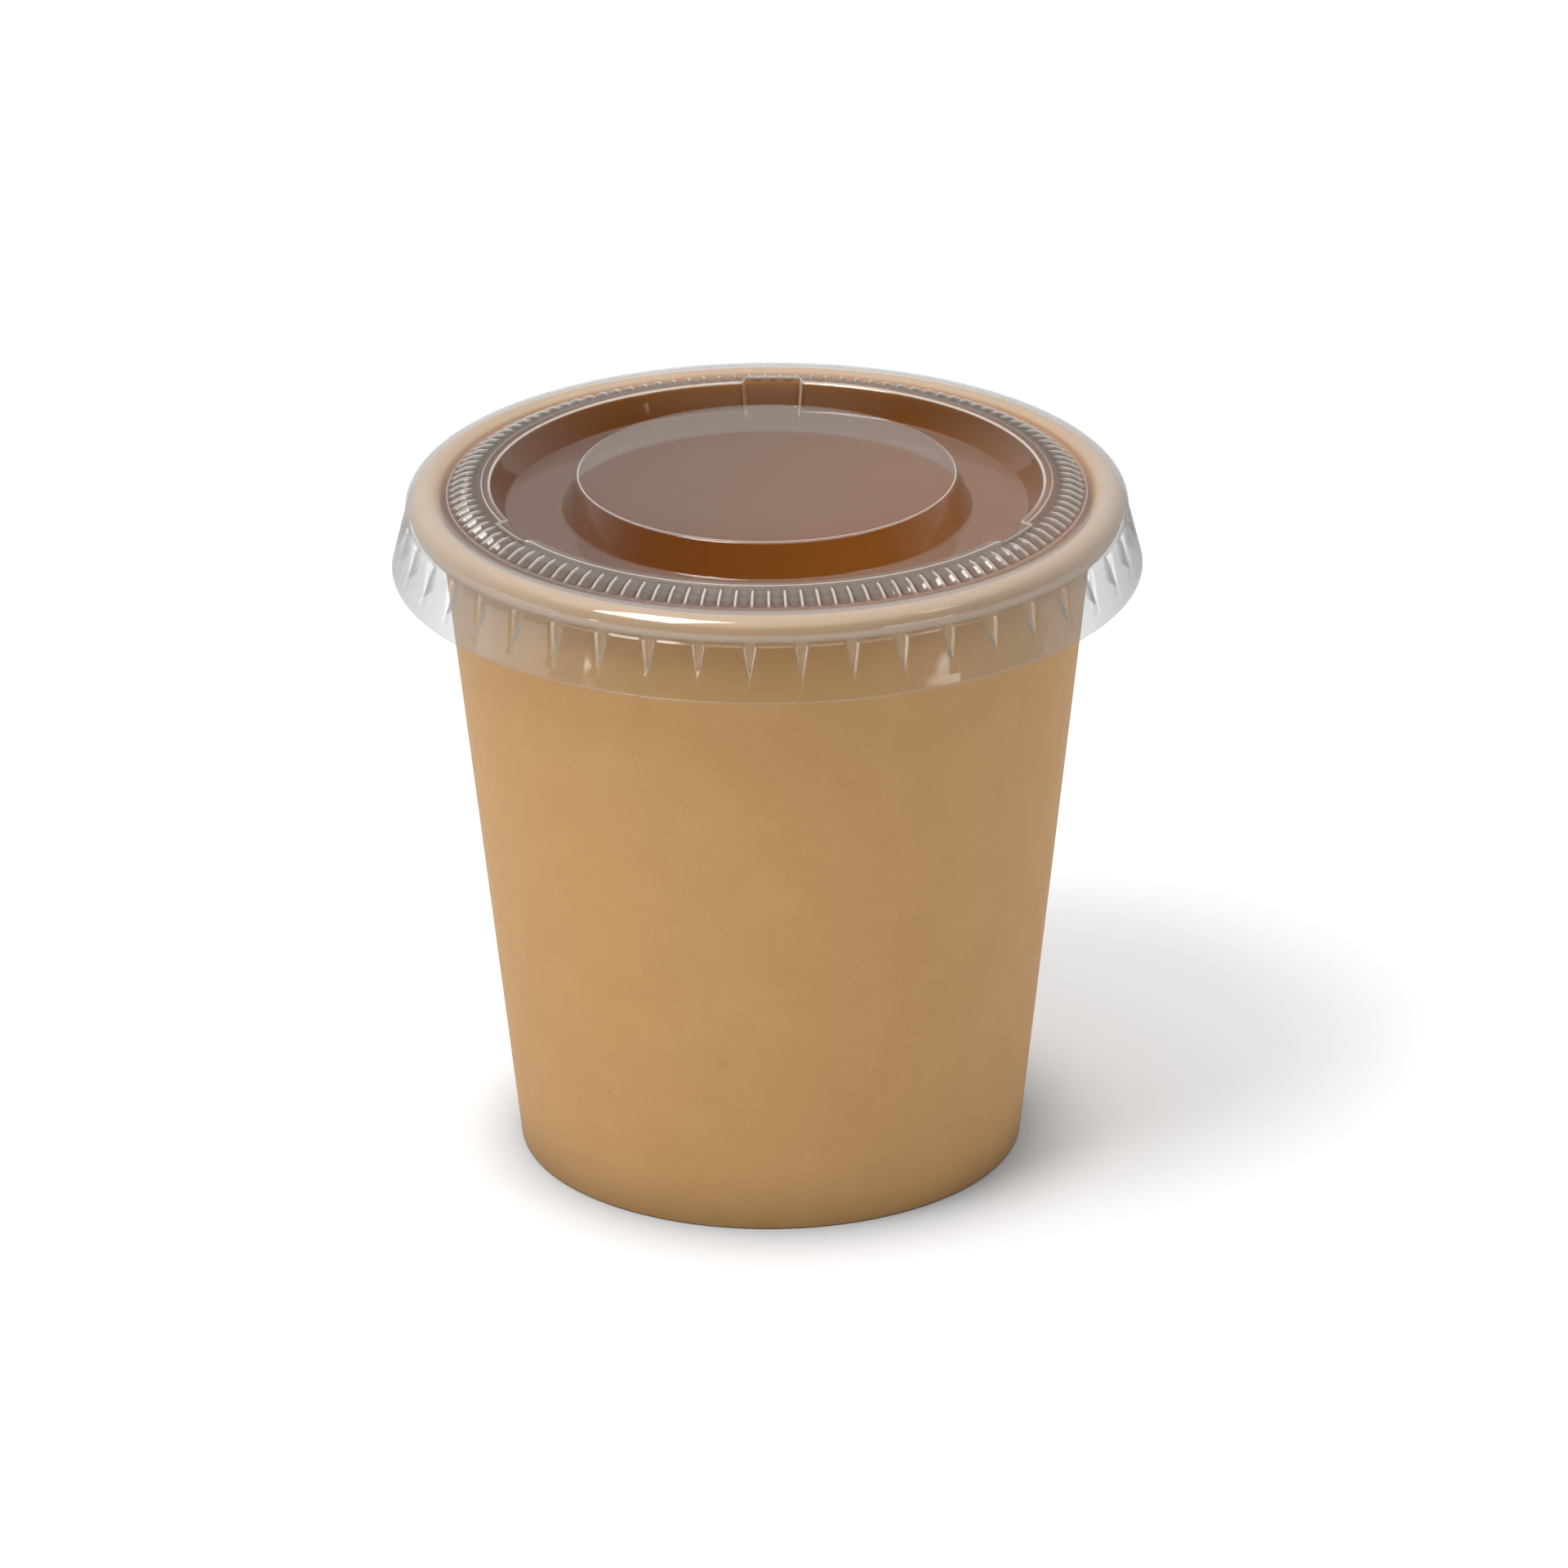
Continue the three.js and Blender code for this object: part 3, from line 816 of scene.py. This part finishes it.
def lid_section():
    """The upper face outwards to the skirt's foot, then the lower face back to the axis."""
    inner = centre_stretch() + channel_stretch()
    upper = with_normals(inner + shoulder_stretch() + ring_stretch() + skirt_stretch())
    upper[0].update(normal_radius=0, normal_height=1)
    lower = []
    for corner in reversed(upper):
        radius = corner["radius"] - FILM * corner["normal_radius"]
        height = corner["height"] - FILM * corner["normal_height"]
        lower.append({**corner, "radius": radius, "height": height})
    foot = [
        {**upper[-1], "radius": SKIRT_RADIUS - 0.06, "height": SKIRT_FOOT},
        {**upper[-1], "radius": SKIRT_RADIUS - FILM + 0.04, "height": SKIRT_FOOT},
    ]
    return upper + foot + lower


print("lid section has", len(lid_section()), "points")

# %% Lid
def flute_columns():
    """Columns across each flute, closer at its ridges than in its bed."""
    across = (0, 0.11, 1 / 3, 0.5, 2 / 3, 0.89)
    pitch = 360 / FLUTES
    return [FLUTE_ANGLE + (k + share) * pitch for k in range(FLUTES) for share in across]


def lug_columns():
    """The same columns laid out for the lugs: where each stands, and what it does there.

    Each dent is creased a little differently, and more sharply on its side towards the seam."""
    edge, wall, pitch = LUG_HALF_WIDTH, LUG_WALL, 360 / LUGS
    right = [0.35, edge - wall, edge - wall / 2, edge, 1.6, 2.4, 3.2]  # degrees off its middle
    across = [-pitch / 2] + [-o for o in reversed(right)] + [0] + right
    starts = [LUG_ANGLE % pitch + k * pitch for k in range(LUGS)]
    offsets = across * LUGS
    strength = []
    for start in starts:
        for side in (-1, 1):
            towards_seam = CREASE_MIDDLE + side * math.cos(math.radians(start))
            strength.append(LUG_RANDOM.uniform(0.5, 1) * min(1, max(CREASE_LEAST, towards_seam)))
    held = [max(-edge, min(edge, o)) for o in offsets]
    yielding = [min(1, (pitch / 2 - abs(o)) / (pitch / 2 - edge)) for o in offsets]
    return {
        "lug_place": [start + o for start in starts for o in across],
        "lug_gather": [h * y for h, y in zip(held, yielding)],
        "lug_dent": [max(0, min(1, (edge - abs(o)) / wall)) for o in offsets],
        "lug_crease": [
            strength[2 * (k // len(across)) + (o > 0)] * (abs(abs(o) - edge + wall / 2) < 1e-6)
            for k, o in enumerate(offsets)
        ],  # only the column in the middle of a lug's wall is creased
    }


def make_lid():
    section_object = section_helper("lid_section", lid_section())
    columns = column_helper("lid_columns", flute_columns(), **lug_columns())
    tree = Turned("turn_lid")
    tree.lay_grid(section_object, columns, film_finish)
    flutes = tree.given("Flutes", "NodeSocketFloat", float(FLUTES))
    flute_depth = tree.given("Flute Depth", "NodeSocketFloat", FLUTE_DEPTH * MM)
    head_round = tree.given("Flute Head", "NodeSocketFloat", FLUTE_HEAD * MM)
    pockets = tree.given("Pockets", "NodeSocketFloat", float(POCKETS))
    pocket_angle = tree.given("Pocket Angle", "NodeSocketFloat", POCKET_ANGLE)

    def off_nearest(count, start):
        """Degrees from the nearest of so many evenly placed directions, signed."""
        pitch = 360 / count
        return (tree.angle - start + pitch * 0.5) % pitch - pitch * 0.5

    ridge = 1 - abs(off_nearest(flutes, FLUTE_ANGLE)) * flutes / 180
    head = tree.mark("beyond") - ridge ** 3 * head_round
    sink = tree.ease(head, 0.0, FLUTE_RISE * MM) * tree.mark("fluted") * flute_depth
    sink = sink * (1 - ridge ** RIDGE_SHARPNESS)

    press = tree.mark("lug_depth") * tree.column_mark("lug_dent")
    lug_place = tree.column_mark("lug_place") - tree.mark("gathered") * tree.column_mark("lug_gather")

    off_pocket = abs(off_nearest(pockets, pocket_angle))
    pocket = tree.ease(off_pocket, POCKET_HALF_WIDTH - POCKET_CORNER, POCKET_HALF_WIDTH, 1.0, 0.0)
    push = tree.mark("pocket_depth") * pocket

    radius = tree.mark("radius") - sink * tree.mark("normal_radius") - press + push
    height = tree.mark("height") - sink * tree.mark("normal_height")
    ridge_line = tree.ease(ridge, RIDGE_LINE, 1.0) * tree.mark("fluted")
    ridge_line = ridge_line * tree.ease(tree.mark("beyond"), 0.4 * MM, 0.7 * MM)
    crease_line = tree.column_mark("lug_crease") * tree.mark("creased")
    deep = tree.mark("pocket_depth") * (1 / (POCKET_DEPTH * MM))
    side_line = (1 - abs(pocket * 2 - 1)) * deep * POCKET_SIDE_MARK
    bend = tree.mark("bend").most(ridge_line).most(crease_line).most(side_line)
    tree.angle = tree.angle + (lug_place - tree.angle) * tree.mark("to_lugs")
    in_dent = (tree.column_mark("lug_dent") * 3).least(1) * tree.mark("creased")
    veil = tree.mark("veil") * (1 - in_dent * DENT_CLEARING)
    marks = {"bend": bend, "veil": veil, "shade": tree.mark("shade")}
    tree.finish(radius, height, marks, flip=True)
    return turned_mesh("clear_lid", tree, (section_object, columns))


clear_lid = make_lid()

# %% [markdown]
# ## Floor, lights and surroundings
#
# The photograph is a studio picture on white: a large soft light from the left, a weak one from
# the right, and brightness overhead. The surroundings matter as much as the lights, because the
# lid is seen mostly by what it mirrors: bright above and behind, dark around the camera. The
# upright skirt mirrors what stands low to either side of the camera, so three small cards of
# light stand there. Close round the foot the photograph's floor is darker than these lights alone
# make it. That shade is painted, as a share of a second colour that fades with the distance.

# %% Studio
FLOOR_SIZE = 3.0
FLOOR_WHITE = (0.885, 0.905, 0.93, 1)
PAINTED_CONTACT_SHADE = (0.54, 0.565, 0.59, 1)  # the painted shade right beside the foot: what is left of the white there
CONTACT_REACH = 10 * MM
CONTACT_SHIFT = Vector((0.8, -0.1, 0)) * MM  # the painted shade leans to the right
LIGHTS = (  # name, degrees to the right of the camera and up, distance, width and height in m, watts
    ("left_softbox", -50, 59, 0.60, 0.24, 0.30, 2.15),
    ("right_softbox", 63, 43, 0.70, 0.12, 0.14, 0.08),
    ("left_card", -53, 3, 0.60, 0.04, 0.04, 0.03),
    ("side_card", -80, 2.5, 0.60, 0.30, 0.08, 0.09),
    ("right_card", 46, 3.5, 0.60, 0.24, 0.04, 0.11),
)


def make_floor():
    mesh = bpy.data.meshes.new("floor")
    half = FLOOR_SIZE / 2
    corners = [(-half, -half, 0), (half, -half, 0), (half, half, 0), (-half, half, 0)]
    mesh.from_pydata(corners, [], [(0, 1, 2, 3)])
    floor = bpy.data.objects.new("floor", mesh)
    bpy.context.scene.collection.objects.link(floor)
    material, tree = finish_material("floor_white")
    place = tree.node("ShaderNodeTexCoord")["Object"]
    sockets = {0: place, 1: CONTACT_SHIFT}
    away = tree.node("ShaderNodeVectorMath", {"operation": "DISTANCE"}, sockets)["Value"]
    # painted shade: near is 1 at the foot and fades to 0 at the reach
    near = (1 - (away - FOOT_RADIUS * MM) / CONTACT_REACH).most(0).least(1) ** 2
    sockets = {"Factor": near, "A": FLOOR_WHITE, "B": PAINTED_CONTACT_SHADE}
    white = tree.node("ShaderNodeMix", {"data_type": "RGBA"}, sockets)
    shader = tree.node("ShaderNodeBsdfDiffuse", {}, {"Color": white})
    tree.end("ShaderNodeOutputMaterial", shader)
    mesh.materials.append(material)


def softbox(name, side_angle, height_angle, distance, width, height, watts):
    """An area light that faces the cup from a direction."""
    side, up = math.radians(side_angle), math.radians(height_angle)
    towards = Vector((math.sin(side) * math.cos(up), -math.cos(side) * math.cos(up), math.sin(up)))
    data = bpy.data.lights.new(name, "AREA")
    data.shape = "RECTANGLE"
    data.size, data.size_y = width, height
    data.energy = watts
    lamp = bpy.data.objects.new(name, data)
    turn = (-towards).to_track_quat("-Z", "Y").to_matrix().to_4x4()
    lamp.matrix_world = Matrix.Translation(LOOKED_AT + towards * distance) @ turn
    bpy.context.scene.collection.objects.link(lamp)


def surroundings():
    """A world that is dark round the camera, bright behind the cup and brightest overhead."""
    world = bpy.data.worlds.new("studio")
    world.use_nodes = True
    world.node_tree.nodes.clear()
    tree = Tree(world.node_tree)
    way = tree.node("ShaderNodeTexCoord")["Generated"]
    parts = tree.node("ShaderNodeSeparateXYZ", {}, {"Vector": way})
    up, back = parts["Z"], parts["Y"]
    level = tree.ease(back, -0.4, 1.0, 0.04, 1.0)
    above = tree.ease(up, 0.5, 0.9)
    strength = level * (1 - above) + above * 1.5
    light = tree.node("ShaderNodeBackground", {}, {"Color": (1, 1, 1, 1), "Strength": strength})
    tree.end("ShaderNodeOutputWorld", light)
    bpy.context.scene.world = world


make_floor()
surroundings()
for light in LIGHTS:
    softbox(*light)
bpy.context.scene.view_settings.view_transform = "Standard"
bpy.context.scene.cycles.transparent_max_bounces = 24
print("studio ready, with", len(LIGHTS), "lights")

# %% [markdown]
# ## Handing over
#
# Each new mesh stands for one CAD node and moves with the object's one body.

# %% Bodies
for piece, node, slot in (
    (paper_wall, "cup_wall", "kraft_board"),
    (paper_base, "cup_base", "kraft_base"),
    (clear_lid, "lid", "clear_film"),
):
    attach(piece, "root")
    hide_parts(node)
